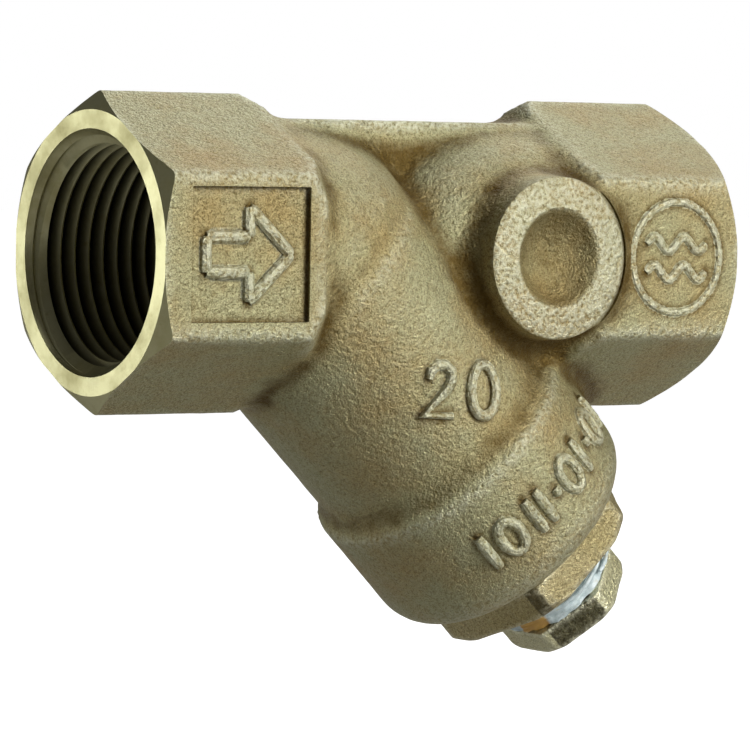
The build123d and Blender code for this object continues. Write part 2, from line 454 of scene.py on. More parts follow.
def tidy_solid(piece):
    """Merge doubles, then turn the faces outwards."""
    open_mesh(piece)
    bpy.ops.mesh.remove_doubles(threshold=0.001 * MM)
    bpy.ops.mesh.dissolve_degenerate(threshold=0.0005 * MM)
    bpy.ops.mesh.normals_make_consistent(inside=False)
    bpy.ops.object.mode_set(mode="OBJECT")
    return piece


def turned(name, points, steps=128):
    """A solid of revolution about X from an outline that starts and ends on the axis."""
    piece = outline(name, points)
    apply_modifier(
        piece, "SCREW", axis="X", angle=math.tau, steps=steps, render_steps=steps,
        use_merge_vertices=True, merge_threshold=0.001 * MM)
    return tidy_solid(piece)


def arc(centre, radius, start, end, count=8):
    """Points on a circle, from one angle in degrees to another, for the rounded part of an outline."""
    angles = [math.radians(start + (end - start) * i / count) for i in range(count + 1)]
    return [(centre[0] + radius * math.cos(a), centre[1] + radius * math.sin(a)) for a in angles]


def onto_branch(piece):
    """Lay a piece that was made along X on the branch axis, stations counted from the crossing."""
    piece.rotation_euler = (0, BRANCH_TURN, 0)
    piece.location = (INLET_FACE + CROSSING, 0, 0)
    return apply_place(piece)


def onto_run(piece, start=None):
    piece.location = (INLET_FACE if start is None else start, 0, 0)
    return apply_place(piece)


def onto_outlet(piece):
    """Turn a piece that was drawn for the inlet round, and place it at the outlet."""
    piece.rotation_euler = (0, 0, math.pi)
    return onto_run(piece, OUTLET_FACE)


# %% [markdown]
# ## The casting pattern
# The body is one sand casting. Its pattern is built the way a pattern maker does it: plain wooden
# shapes put together, with leather fillets in every inside corner. The shapes here are closed solids
# that simply overlap, and the fillets come later from a remesh.

# %% Hexagon ends of the pattern
SPARE = 0.8 * MM
EDGE_ROUND = 0.45 * MM


def hexagon_bar(name, flats, length, edge_round, clocking=0):
    """A hexagonal bar along X from zero, with flats to the front and its long edges rounded."""
    bpy.ops.object.select_all(action="DESELECT")
    corner = flats / math.sqrt(3)
    bpy.ops.mesh.primitive_cylinder_add(vertices=6, radius=corner, depth=length, location=(0, 0, 0))
    piece = named(name)
    piece.rotation_euler = (0, 0, math.radians(30 + clocking))
    apply_place(piece)
    piece.rotation_euler = (0, math.radians(90), 0)
    piece.location = (length / 2, 0, 0)
    apply_place(piece)
    if edge_round:
        open_mesh(piece, "EDGE", "DESELECT")
        mesh = bmesh.from_edit_mesh(piece.data)
        for edge in mesh.edges:
            along = edge.verts[1].co - edge.verts[0].co
            edge.select = abs(along.x) > 0.9 * length
        bmesh.update_edit_mesh(piece.data)
        bpy.ops.mesh.bevel(offset=edge_round, segments=4, affect="EDGES")
        bpy.ops.object.mode_set(mode="OBJECT")
    return piece


def end_hexagon(name, length, inner_corner):
    """One hexagon end, its inner corners turned down in a rounded cone towards the barrel."""
    bar = hexagon_bar(name, HEX_FLATS, length + SPARE, EDGE_ROUND)
    bar.location = (-SPARE, 0, 0)
    apply_place(bar)
    full = HEX_CORNER + MM
    back = length
    points = [(-2 * SPARE, 0), (-2 * SPARE, full), (back - inner_corner, full)]
    points += [(back - inner_corner * 0.5, HEX_CORNER - 0.55 * MM), (back - 0.1 * MM, HALF_FLATS + 0.7 * MM)]
    points += [(back, HALF_FLATS - 0.4 * MM), (back, 0)]
    envelope = turned(name + "_envelope", points, steps=96)
    return combine(bar, envelope, "INTERSECT")


inlet_hexagon = onto_run(end_hexagon("inlet_hexagon", INLET_HEX + 0.7 * MM, 3.2 * MM))
outlet_hexagon = onto_outlet(end_hexagon("outlet_hexagon", OUTLET_HEX + 1.1 * MM, 2.8 * MM))
report(inlet_hexagon)
report(outlet_hexagon)

# %% Barrels, web, branch and boss of the pattern
NECK = 36.6 * MM
BARREL_RADIUS = 14.6 * MM
NECK_RADIUS = 8.2 * MM
DOME_LENGTH = 15.4 * MM


def barrel(name, start, neck):
    """A barrel that narrows to the neck along a quarter of a long ellipse."""
    shoulder = neck - DOME_LENGTH
    points = [(start, 0), (start, BARREL_RADIUS)]
    drop = BARREL_RADIUS - NECK_RADIUS
    for i in range(13):
        angle = math.radians(90 * i / 12)
        station = shoulder + DOME_LENGTH * math.sin(angle) ** 1.15
        points.append((station, NECK_RADIUS + drop * math.cos(angle)))
    points.append((neck + 2 * MM, NECK_RADIUS * 0.8))
    points.append((neck + 2 * MM, 0))
    return turned(name, points)


inlet_barrel = onto_run(barrel("inlet_barrel", 4 * MM, NECK))
outlet_barrel = onto_outlet(barrel("outlet_barrel", 4 * MM, RUN_LENGTH - NECK))

WEB_HEIGHT = 14.8 * MM
WEB_THICKNESS = 9.4 * MM
WEB_LENGTH = 42 * MM
WEB_MIDDLE = 38.4 * MM
web = block("web", (WEB_LENGTH, WEB_THICKNESS, WEB_HEIGHT), (INLET_FACE + WEB_MIDDLE, 0, WEB_HEIGHT / 2))

BRANCH_START = 2.2 * MM
BRANCH_RADIUS = 14.7 * MM
COLLAR_START = 29.2 * MM
COLLAR_RADIUS = 16.05 * MM
RIM_ROUND = 3.7 * MM
rim_centre = (COLLAR_END - RIM_ROUND, COLLAR_RADIUS - RIM_ROUND)
branch_points = [(BRANCH_START, 0), (BRANCH_START, BRANCH_RADIUS - 0.3 * MM)]
branch_points += [(BRANCH_START + 0.6 * MM, BRANCH_RADIUS)]
branch_points += [(COLLAR_START - 0.8 * MM, BRANCH_RADIUS - 0.1 * MM), (COLLAR_START, COLLAR_RADIUS)]
branch_points += arc(rim_centre, RIM_ROUND, 90, 0) + [(COLLAR_END, 0)]
branch = onto_branch(turned("branch", branch_points))

BOSS_RADIUS = 8.95 * MM
BOSS_FACE = 16.2 * MM
BOSS_PLACE = 50.85 * MM
DIMPLE_RADIUS = 5.4 * MM
DIMPLE_DEPTH = 3.0 * MM
boss_points = [(0, 0), (0, 10.4 * MM), (9.5 * MM, 10.0 * MM), (12.6 * MM, BOSS_RADIUS + 0.15 * MM)]
boss_points += [(BOSS_FACE + SPARE, BOSS_RADIUS), (BOSS_FACE + SPARE, 0)]


def onto_boss(piece):
    """Turn a piece that was made along X to the front, on the axis of the boss."""
    piece.rotation_euler = (0, 0, math.radians(-90))
    piece.location = (INLET_FACE + BOSS_PLACE, 0, 0)
    return apply_place(piece)


boss = onto_boss(turned("boss", boss_points))
for piece in (inlet_barrel, outlet_barrel, web, branch, boss):
    report(piece)

# %% [markdown]
# ## Fusing and filleting the casting
# Overlapping solids become one skin with a voxel remesh, which keeps a little softness on every edge,
# as sand does. Inside corners need a larger radius than outside ones, so the smoothing is done twice:
# once lightly all over, and again, much more strongly, only where the surface is hollow.

# %% Fuse the pattern
VOXEL = 0.5 * MM
pattern = [inlet_hexagon, outlet_hexagon, inlet_barrel, outlet_barrel, web, branch, boss]
casting = remeshed(joined(pattern, "strainer_body"), VOXEL)
report(casting)

# %% Leather fillets
def hollowness(mesh):
    """How far each vertex lies below the mean of its neighbours, along its normal."""
    found = []
    for vertex in mesh.verts:
        middle = Vector((0, 0, 0))
        for edge in vertex.link_edges:
            middle += edge.other_vert(vertex).co
        middle /= max(1, len(vertex.link_edges))
        found.append((middle - vertex.co).dot(vertex.normal))
    return found


def smooth_everywhere(piece, repeat):
    open_mesh(piece)
    bpy.ops.mesh.vertices_smooth(factor=0.5, repeat=repeat)
    bpy.ops.object.mode_set(mode="OBJECT")


def fillet_hollows(piece, depth, reach, repeat):
    """Select the vertices in inside corners, widen the selection and smooth only there."""
    open_mesh(piece, selected="DESELECT")
    mesh = bmesh.from_edit_mesh(piece.data)
    mesh.normal_update()
    chosen = 0
    for vertex, hollow in zip(mesh.verts, hollowness(mesh)):
        if hollow > depth:
            vertex.select = True
            chosen += 1
    mesh.select_flush_mode()
    bmesh.update_edit_mesh(piece.data)
    for step in range(reach):
        bpy.ops.mesh.select_more()
    bpy.ops.mesh.vertices_smooth(factor=0.5, repeat=repeat)
    bpy.ops.object.mode_set(mode="OBJECT")
    print("hollow vertices", chosen)


smooth_everywhere(casting, 1)
fillet_hollows(casting, 0.025 * MM, 2, 24)
fillet_hollows(casting, 0.012 * MM, 2, 24)
smooth_everywhere(casting, 1)

# %% [markdown]
# ## The unevenness of sand
# No face of a sand casting is truly flat. A Displace modifier with a slow Clouds texture moves the skin
# by a few hundredths of a millimetre, which is enough for the light to break up on the flats.

# %% Uneven skin
coat(casting, cast_bronze)
swell = bpy.data.textures.new("sand_swell", "CLOUDS")
swell.noise_scale = 3.2 * MM
swell.noise_depth = 2
apply_modifier(casting, "DISPLACE", texture=swell, texture_coords="LOCAL", strength=0.10 * MM, mid_level=0.5)
report(casting)

# %% [markdown]
# ## Where dirt, painted shade and polish collect
# A casting is darkest in its inside corners, partly from dirt and partly from painted shade, and brightest
# on its edges. Both are read from the shape: the same hollowness, spread over a few millimetres, is kept
# at points of the surface, and it is looked up again when the piece is finished, because cutting a mesh
# makes new vertices.

# %% Measure hollows and edges
def spread(values, links, rounds):
    for step in range(rounds):
        values = [
            0.5 * values[i] + 0.5 * sum(values[j] for j in near) / len(near) for i, near in enumerate(links)]
    return values


def shape_map(piece, rounds=6):
    """A search tree of the surface, with the spread hollowness at each of its points."""
    mesh = bmesh.new()
    mesh.from_mesh(piece.data)
    mesh.verts.ensure_lookup_table()
    mesh.normal_update()
    links = [[edge.other_vert(vertex).index for edge in vertex.link_edges] for vertex in mesh.verts]
    values = spread(hollowness(mesh), links, rounds)
    tree = kdtree.KDTree(len(mesh.verts))
    for vertex in mesh.verts:
        tree.insert(vertex.co, vertex.index)
    tree.balance()
    mesh.free()
    return tree, values


casting_map = shape_map(casting, 9)
print("hollowness from", round(min(casting_map[1]) / MM, 4), "to", round(max(casting_map[1]) / MM, 4), "mm")


def at_least(layer, vertex, value):
    """Raise the value of one vertex in an attribute, never above one."""
    here = layer.data[vertex.index]
    here.value = min(1, max(here.value, value))


def paint_shape(piece, surface, deepest, sharpest):
    """Store two attributes: hollow and edge, each from nothing to one."""
    tree, values = surface
    hollow = piece.data.attributes.new("hollow", "FLOAT", "POINT")
    edge = piece.data.attributes.new("edge", "FLOAT", "POINT")
    for vertex in piece.data.vertices:
        place, index, distance = tree.find(vertex.co)
        value = values[index] if distance < 1.2 * MM else 0
        # The hollow value darkens the finishes: partly dirt, partly painted shade in inside corners.
        hollow.data[vertex.index].value = min(1, max(0, value / deepest))
        edge.data[vertex.index].value = min(1, max(0, -value / sharpest))


# %% [markdown]
# ## Cutting tools
# Machined surfaces are crisp, so they are cut after the casting is smooth, with tools that are solids
# too. A tap is made like any turned part, except that the Screw modifier advances one pitch in each
# turn. Its ends are trimmed square with two bisects. The tools are made first, and each one cuts the
# casting in turn, because a union of many tools that nearly touch is where an exact cut can fail.

# %% Helpers for threads and trimmed solids
def trim(piece, point, normal):
    """Cut a solid with a plane, throw away the side that the normal points to, and close the cut."""
    open_mesh(piece)
    bpy.ops.mesh.bisect(
        plane_co=point, plane_no=normal, use_fill=True, clear_outer=True, threshold=0.0001 * MM)
    bpy.ops.object.mode_set(mode="OBJECT")
    return piece


def threaded_bar(name, pitch, inner, outer, start, end, steps=72):
    """A solid bar along X with a helical ridge, trimmed square at both ends."""
    flat = 0.09 * pitch
    flank = (pitch - 2 * flat) / 2
    first = start - 1.5 * pitch
    points = [(first, inner), (first + flat, inner), (first + flat + flank, outer)]
    points += [(first + 2 * flat + flank, outer), (first + pitch, inner)]
    turns = math.ceil((end - start) / pitch) + 3
    bar = outline(name, points)
    apply_modifier(
        bar, "SCREW", axis="X", angle=math.tau, screw_offset=pitch, iterations=turns,
        steps=steps, render_steps=steps, use_merge_vertices=False)
    tidy_solid(bar)
    trim(bar, (start, 0, 0), (-1, 0, 0))
    trim(bar, (end, 0, 0), (1, 0, 0))
    return tidy_solid(bar)


# %% Tools for the two mouths
PIPE_PITCH = 25.4 / 14 * MM
THREAD_CREST = 11.75 * MM
THREAD_ROOT = 13.05 * MM
THREAD_LENGTH = 14.6 * MM
COUNTERSINK = 13.3 * MM
WATERWAY = 9.6 * MM
CASTING_WALL = 4.4 * MM
BEYOND = 24 * MM  # a radius that is outside everything at a mouth


def mouth_tool(name, face_rim, corner):
    """Everything that is machined at one end, drawn for a mouth at zero that opens towards -X."""
    tap = threaded_bar(name, PIPE_PITCH, THREAD_CREST, THREAD_ROOT, -MM, THREAD_ENTRY + THREAD_LENGTH)
    mouth = [(-2 * MM, 0), (-2 * MM, COUNTERSINK + 0.02 * MM), (0, COUNTERSINK + 0.02 * MM)]
    mouth += [(0.35 * MM, COUNTERSINK - 0.1 * MM), (THREAD_ENTRY, THREAD_CREST), (THREAD_ENTRY, 0)]
    combine(tap, turned(name + "_countersink", mouth), "UNION")
    deep = THREAD_ENTRY + THREAD_LENGTH
    relief = [(deep - MM, 0), (deep - MM, THREAD_CREST), (deep, THREAD_CREST)]
    relief += [(deep + THREAD_CREST - WATERWAY, WATERWAY), (deep + THREAD_CREST - WATERWAY, 0)]
    combine(tap, turned(name + "_relief", relief), "UNION")
    over = HEX_CORNER + (HEX_CORNER - face_rim) * 0.6
    facing = [(-3 * MM, 0), (-3 * MM, BEYOND), (corner * 1.6, BEYOND), (corner * 1.6, over)]
    facing += [(0, face_rim), (0, 0)]
    combine(tap, turned(name + "_facing", facing), "UNION")
    return tap


inlet_tool = onto_run(mouth_tool("inlet_tool", 15.35 * MM, 1.2 * MM))
outlet_tool = onto_outlet(mouth_tool("outlet_tool", 15.25 * MM, 2.0 * MM))
report(inlet_tool)

# %% Tools for the waterway, partition and branch
PARTITION_START = 5.0 * MM
PARTITION_THICKNESS = 3.0 * MM
SEAT_HOLE = 6.6 * MM
SEAT_DEPTH = 1.6 * MM
SCREEN_RADIUS = 8.0 * MM
BAND_WALL = 0.4 * MM
FIT = 0.2 * MM
CHAMBER = 11.2 * MM
CAP_THREAD = 9.9 * MM
CAP_PITCH = 1.5 * MM
CAP_THREAD_LENGTH = 10.0 * MM
GASKET_RECESS = 1.2 * MM
GASKET_RADIUS = 11.4 * MM
RUNNING = 0.1 * MM
along_branch = Vector((math.cos(BRANCH_TURN), 0, -math.sin(BRANCH_TURN)))
crossing = Vector((INLET_FACE + CROSSING, 0, 0))


def passage(name, neck):
    """The cored waterway of one side, drawn from a mouth at zero."""
    shoulder = neck - DOME_LENGTH
    inside = BARREL_RADIUS - CASTING_WALL
    tip = NECK_RADIUS - CASTING_WALL
    points = [(6 * MM, 0), (6 * MM, WATERWAY), (17.5 * MM, WATERWAY), (18.5 * MM, inside)]
    for i in range(9):
        angle = math.radians(90 * i / 8)
        points.append((shoulder + DOME_LENGTH * math.sin(angle), tip + (inside - tip) * math.cos(angle)))
    points.append((neck, 0))
    return turned(name, points, steps=64)


above = crossing + along_branch * PARTITION_START
upstream = trim(onto_run(passage("upstream", NECK)), above, along_branch)
PAST_STEP = 0.35 * MM  # keeps the cut clear of the chamber's step, which lies in the same plane
below = crossing + along_branch * (PARTITION_START + PARTITION_THICKNESS + PAST_STEP)
downstream = trim(onto_outlet(passage("downstream", RUN_LENGTH - NECK)), below, -along_branch)

chamber_start = PARTITION_START + PARTITION_THICKNESS
recess_start = COLLAR_END - GASKET_RECESS
thread_start = recess_start - CAP_THREAD_LENGTH
seat_radius = SCREEN_RADIUS + BAND_WALL + FIT
bore = CAP_THREAD + RUNNING
chamber_points = [(PARTITION_START - MM, 0), (PARTITION_START - MM, SEAT_HOLE)]
chamber_points += [(chamber_start - SEAT_DEPTH, SEAT_HOLE), (chamber_start - SEAT_DEPTH, seat_radius)]
chamber_points += [(chamber_start, seat_radius), (chamber_start, CHAMBER), (thread_start - MM, CHAMBER)]
chamber_points += [(thread_start, bore), (recess_start, bore), (recess_start, GASKET_RADIUS + RUNNING)]
chamber_points += [(COLLAR_END + 2 * MM, GASKET_RADIUS + RUNNING), (COLLAR_END + 2 * MM, 0)]
chamber = onto_branch(turned("chamber", chamber_points))
cap_tap = onto_branch(threaded_bar(
    "cap_tap", CAP_PITCH, bore - 0.3 * MM, bore + 0.8 * MM,
    thread_start + 0.6 * MM, recess_start + 0.3 * MM, steps=60))

for tool in (inlet_tool, outlet_tool, cap_tap):
    coat(tool, machined_bronze)
for tool in (upstream, downstream, chamber):
    coat(tool, cast_bronze)
for tool in (inlet_tool, outlet_tool, upstream, downstream, chamber, cap_tap):
    report(tool)

# %% [markdown]
# ## Raised marks
# Foundries raise their marks on the pattern: beads of wax on the faces, or letters in a sunk panel. Here
# the marks are a flow arrow, a nominal size, a ring with two waves for water, and a row of bars, rings
# and dots on the collar that say nothing. Each stroke is a curve with a round section, half sunk in the
# skin, and fused with it. Three small functions give a point on a flat, on the branch and on the collar.

# %% Helpers for marks
def on_flat(along, up):
    return Vector((INLET_FACE + along, -HALF_FLATS, up))


def on_round(station, across, radius):
    """A point on the branch, across counted round it from the front, in metres."""
    angle = across / radius
    lift = Vector((math.sin(BRANCH_TURN), 0, math.cos(BRANCH_TURN)))
    middle = crossing + along_branch * station
    return middle - Vector((0, 1, 0)) * radius * math.cos(angle) + lift * radius * math.sin(angle)


def stroke(points, width, closed=False):
    """A round bead of wax along some points."""
    curve = bpy.data.curves.new("stroke", "CURVE")
    curve.dimensions = "3D"
    curve.bevel_depth = width / 2
    curve.bevel_resolution = 3
    curve.use_fill_caps = not closed
    spline = curve.splines.new("POLY")
    spline.points.add(len(points) - 1)
    for point, place in zip(spline.points, points):
        point.co = (*place, 1)
    spline.use_cyclic_u = closed
    if not closed:
        spline.points[0].radius = 0.72
        spline.points[-1].radius = 0.72
    bead = bpy.data.objects.new("stroke", curve)
    bpy.context.collection.objects.link(bead)
    only(bead)
    bpy.ops.object.convert(target="MESH")
    bead_points.extend(points[i].lerp(points[i + 1], t / 6) for i in range(len(points) - 1) for t in range(6))
    return tidy_solid(bpy.context.active_object)


def ring_points(place, centre, radius, count=28):
    angles = [math.tau * i / count for i in range(count)]
    return [place(centre[0] + radius[0] * math.cos(a), centre[1] + radius[1] * math.sin(a)) for a in angles]


bead_points = []

# %% Marks on the flats
PANEL = (10.8 * MM, 0.25 * MM)
PANEL_SIZE = (15.0 * MM, 14.4 * MM)
PANEL_DEPTH = 0.7 * MM
BEAD = 1.45 * MM


def in_panel(along, up):
    return on_flat(along, up) + Vector((0, PANEL_DEPTH + 0.05 * MM, 0))


def on_ring_flat(along, up):
    return on_flat(along, up) + Vector((0, 0.12 * MM, 0))


# Each line of the arrow goes from one (along, up) point to another, the second number in millimetres.
ARROW_HALF = 5.4 * MM
tail = PANEL[0] - ARROW_HALF
tip = PANEL[0] + ARROW_HALF
barb = tip - ARROW_HALF
arrow_lines = [
    [(tail, 1.9), (barb, 1.9)], [(tail, -1.9), (barb, -1.9)], [(tail, 1.9), (tail, -1.9)],
    [(barb, 1.9), (barb, 5.0)], [(barb, 5.0), (tip, 0)],
    [(tip, 0), (barb, -5.0)], [(barb, -5.0), (barb, -1.9)]]
arrow = None
for (left, low), (right, high) in arrow_lines:
    steps = [t / 8 for t in range(9)]
    places = [in_panel(left + (right - left) * t, PANEL[1] + (low + (high - low) * t) * MM) for t in steps]
    bead = stroke(places, BEAD)
    arrow = bead if arrow is None else combine(arrow, bead, "UNION")

RING_CENTRE = (67.9 * MM, 0.1 * MM)
ring_mark = stroke(ring_points(on_ring_flat, RING_CENTRE, (6.2 * MM, 6.2 * MM), 48), 0.95 * MM, closed=True)
wave_marks = []
for level in (1.6, -1.6):
    wave = []
    for i in range(25):
        along = (i / 24 - 0.5) * 8.4 * MM
        wave.append(on_ring_flat(RING_CENTRE[0] + along, (level + 0.8 * math.sin(along / MM * 1.5)) * MM))
    wave_marks.append(stroke(wave, 1.15 * MM))
print("beads on the flats", len(arrow_lines) + len(wave_marks) + 1)

# %% Marks on the branch and collar
def branch_skin(along, across):
    """Upright figures on the branch: along the run and up, as seen from the front."""
    station = (along - across) * math.sqrt(0.5)
    round_it = (along + across) * math.sqrt(0.5)
    return on_round(SIZE_MARK[0] + station, SIZE_MARK[1] + round_it, BRANCH_RADIUS + 0.05 * MM)


def collar_skin(station, across):
    return on_round(station, across, COLLAR_RADIUS + 0.02 * MM)


SIZE_MARK = (20.3 * MM, -0.2 * MM)
FIGURE_WIDTH = 1.25 * MM
two = [(-2.4, 1.3), (-2.2, 2.2), (-1.4, 2.8), (-0.4, 2.8), (0.4, 2.2), (0.5, 1.2), (-0.1, 0.1)]
two += [(-2.6, -2.8), (0.9, -2.8)]
two_stroke = stroke([branch_skin((x - 2.3) * MM, y * MM) for x, y in two], FIGURE_WIDTH)
nought = stroke(ring_points(branch_skin, (2.6 * MM, 0), (1.75 * MM, 2.85 * MM)), FIGURE_WIDTH, closed=True)

COLLAR_ROW = 36.6 * MM
collar_strokes = []
collar_row = [(-10.1, "bar"), (-7.0, "ring"), (-3.6, "bar"), (-1.9, "bar"), (0.2, "dot")]
collar_row += [(2.9, "ring"), (5.8, "bar"), (8.0, "dot"), (10.6, "ring"), (13.6, "bar")]
for place, kind in collar_row:
    if kind == "bar":
        ends = [collar_skin(COLLAR_ROW + t * MM, place * MM) for t in (-2.3, -1.1, 0, 1.1, 2.3)]
        collar_strokes.append(stroke(ends, 1.3 * MM))
    elif kind == "ring":
        collar_strokes.append(stroke(
            ring_points(collar_skin, (COLLAR_ROW, place * MM), (2.1 * MM, 1.25 * MM)), 1.2 * MM, closed=True))
    else:
        ends = [collar_skin(COLLAR_ROW + t * MM, place * MM) for t in (-0.5, 0, 0.5)]
        collar_strokes.append(stroke(ends, 1.25 * MM))
others = joined([ring_mark] + wave_marks + [two_stroke, nought] + collar_strokes, "other_beads")
beads = combine(arrow, others, "UNION", crossing_itself=True)
report(beads)

# %% Sink the panel and fuse the beads
def refine_near(piece, tree, reach):
    """Subdivide the faces near some points once, so that the beads meet a finer skin."""
    open_mesh(piece, "FACE", "DESELECT")
    mesh = bmesh.from_edit_mesh(piece.data)
    for face in mesh.faces:
        place, index, distance = tree.find(face.calc_center_median())
        face.select = distance < reach
    mesh.select_flush_mode()
    bmesh.update_edit_mesh(piece.data)
    bpy.ops.mesh.subdivide(number_cuts=1)
    bpy.ops.object.mode_set(mode="OBJECT")


bead_tree = kdtree.KDTree(len(bead_points))
for i, point in enumerate(bead_points):
    bead_tree.insert(point, i)
bead_tree.balance()
refine_near(casting, bead_tree, 1.5 * MM)

CUTTER_HEIGHT = 4 * MM
panel = block(
    "panel_cutter", (PANEL_SIZE[0], CUTTER_HEIGHT, PANEL_SIZE[1]),
    on_flat(*PANEL) + Vector((0, PANEL_DEPTH - 2 * MM, 0)))
open_mesh(panel)
bpy.ops.mesh.subdivide(number_cuts=36)
bpy.ops.object.mode_set(mode="OBJECT")
apply_modifier(panel, "BEVEL", width=0.14 * MM, segments=2, limit_method="ANGLE")
coat(panel, cast_bronze)
combine(casting, panel, "DIFFERENCE")

# The boss face and its dimple are one cutter, given as (depth below the face, radius) points.
dimple = [(DIMPLE_DEPTH, 0), (DIMPLE_DEPTH, 1.0 * MM), (2.7 * MM, 2.4 * MM), (1.9 * MM, 3.8 * MM)]
dimple += [(0.8 * MM, 4.9 * MM), (0.25 * MM, 5.2 * MM), (0, DIMPLE_RADIUS + 0.2 * MM)]
dimple += [(0, BOSS_RADIUS - 0.35 * MM), (0.12 * MM, BOSS_RADIUS - 0.12 * MM)]
dimple += [(0.6 * MM, BOSS_RADIUS + 0.5 * MM)]
face_points = [(BOSS_FACE - depth, radius) for depth, radius in dimple]
face_points += [(BOSS_FACE + 3 * MM, BOSS_RADIUS + 0.5 * MM), (BOSS_FACE + 3 * MM, 0)]
combine(casting, coat(onto_boss(turned("boss_face", face_points, steps=96)), cast_bronze), "DIFFERENCE")
coat(beads, cast_bronze)
combine(casting, beads, "UNION")
report(casting)

# %% Cut the casting
for tool in (upstream, downstream, chamber, cap_tap, inlet_tool, outlet_tool):
    combine(casting, tool, "DIFFERENCE")
report(casting)
paint_shape(casting, casting_map, 0.010 * MM, 0.03 * MM)


BEAD_SIDE = 0.45 * MM
CROWN_SLOPE = 0.55


def shade_beside_marks(piece, tree, reach):
    """Paint shade on the skin just beside each bead, and brighten the crowns."""
    hollow = piece.data.attributes["hollow"]
    edge = piece.data.attributes["edge"]
    for vertex in piece.data.vertices:
        place, index, distance = tree.find(vertex.co)
        if distance < reach:
            beside = min(1, max(0, (reach - distance) / (reach - BEAD_SIDE)))
            crown = vertex.normal.dot((vertex.co - place).normalized())
            if crown > CROWN_SLOPE and distance > 0.3 * MM:
                edge.data[vertex.index].value = 0.9
                hollow.data[vertex.index].value = 0
            else:
                at_least(hollow, vertex, beside)


shade_beside_marks(casting, bead_tree, 1.25 * MM)


def shade_in_panel(piece, reach):
    """Paint shade on the floor of the sunk panel along its four sides."""
    hollow = piece.data.attributes["hollow"]
    for vertex in piece.data.vertices:
        sunk = vertex.co.y + HALF_FLATS
        if 0.2 * MM < sunk < PANEL_DEPTH + 0.2 * MM:
            across = PANEL_SIZE[0] / 2 - abs(vertex.co.x - INLET_FACE - PANEL[0])
            up = PANEL_SIZE[1] / 2 - abs(vertex.co.z - PANEL[1])
            if min(across, up) > -0.1 * MM:
                at_least(hollow, vertex, 1 - min(across, up) / reach)


shade_in_panel(casting, 0.95 * MM)


def boss_rim_and_dimple_shade(piece):
    """Leave the rim of the boss bright and paint shade in its dimple, most of all towards the bottom."""
    hollow = piece.data.attributes["hollow"]
    edge = piece.data.attributes["edge"]
    for vertex in piece.data.vertices:
        out = math.hypot(vertex.co.x - INLET_FACE - BOSS_PLACE, vertex.co.z)
        below = vertex.co.y + BOSS_FACE
        if out < BOSS_RADIUS and -0.1 * MM < below < DIMPLE_DEPTH + 0.1 * MM:
            if out > DIMPLE_RADIUS:
                edge.data[vertex.index].value = 0.75
            else:
                hollow.data[vertex.index].value = 0.25 + 0.35 * min(1, below / DIMPLE_DEPTH)


boss_rim_and_dimple_shade(casting)


def flat_end_faces(piece):
    """Keep the faced rings and the cones at the corners of the hexagons from blending into each other."""
    for face in piece.data.polygons:
        inward = min(face.center.x - INLET_FACE, OUTLET_FACE - face.center.x)
        if inward < 3 * MM and abs(face.normal.x) > 0.75:
            face.use_smooth = False


def oil_and_shade_in_threads(piece):
    """Blacken both pipe threads' grooves, where no light or cloth reaches: oil and painted shade."""
    hollow = piece.data.attributes["hollow"]
    for vertex in piece.data.vertices:
        radius = math.hypot(vertex.co.y, vertex.co.z)
        depth = min(vertex.co.x - INLET_FACE, OUTLET_FACE - vertex.co.x)
        if THREAD_ENTRY * 0.8 < depth < THREAD_ENTRY + THREAD_LENGTH and radius < THREAD_ROOT + 0.1 * MM:
            groove = (radius - THREAD_CREST - 0.15 * MM) / (THREAD_ROOT - THREAD_CREST)
            hollow.data[vertex.index].value = min(1, max(0, groove * 2.2))


oil_and_shade_in_threads(casting)
smooth_shaded(casting, 32)
flat_end_faces(casting)
print("faulty faces were taken out of the casting:", casting.data.validate(verbose=True))
report(casting)

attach(casting, "casting")
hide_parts("body")

# %% [markdown]
# ## Cap, gasket and plug
# The cap and the plug are small castings with cut threads. Each hexagon is made like the ends of the
# body: a bar with rounded edges, cut to a turned envelope, softened by a fine remesh. The threaded shank
# is added afterwards, crisp, and then the bores are cut. The cap's hexagon has a flat to the front and
# the plug's a corner, as they happened to stop when they were tightened.

# %% Retainer cap
HEAD_VOXEL = 0.26 * MM


def hexagon_head(name, flats, start, length, clocking, edge_round, skin):
    """A cast hexagon on the branch axis whose outer corners are turned away."""
    corner = flats / math.sqrt(3)
    rim = flats / 2 + (corner - flats / 2) * 0.35
    drop = (corner - rim) * 1.35
    head = hexagon_bar(name, flats, length, edge_round, clocking)
    envelope = [(-MM, 0), (-MM, corner + MM), (length - drop, corner + 0.02 * MM), (length, rim)]
    envelope += [(length, 0)]
    combine(head, turned(name + "_envelope", envelope, steps=96), "INTERSECT")
    head.location = (start, 0, 0)
    apply_place(head)
    remeshed(head, HEAD_VOXEL)
    smooth_everywhere(head, 4)
    coat(head, skin)
    apply_modifier(head, "DISPLACE", texture=swell, texture_coords="LOCAL", strength=0.16 * MM, mid_level=0.5)
    return head


CAP_RECESS = COLLAR_END - GASKET_RECESS + 1.3 * MM - CAP_THREAD_LENGTH + 6.6 * MM
PLUG_HOLE = 6.6 * MM
cap = hexagon_head("strainer_cap", 23.8 * MM, CAP_FACE, 4.2 * MM, 1.5, 0.45 * MM, cap_bronze)
cap_map = shape_map(cap, 3)
shank = threaded_bar(
    "cap_shank", CAP_PITCH, 9.15 * MM, CAP_THREAD, CAP_FACE - CAP_THREAD_LENGTH, CAP_FACE + 0.6 * MM, 64)
coat(shank, machined_bronze)
combine(cap, shank, "UNION")
bore_points = [(CAP_FACE - 12 * MM, 0), (CAP_FACE - 12 * MM, seat_radius), (CAP_RECESS, seat_radius)]
bore_points += [(CAP_RECESS, PLUG_HOLE), (CAP_OUTER_FACE - 0.5 * MM, PLUG_HOLE)]
bore_points += [(CAP_OUTER_FACE, PLUG_HOLE + 0.5 * MM)]
bore_points += [(CAP_OUTER_FACE + MM, PLUG_HOLE + 0.5 * MM), (CAP_OUTER_FACE + MM, 0)]
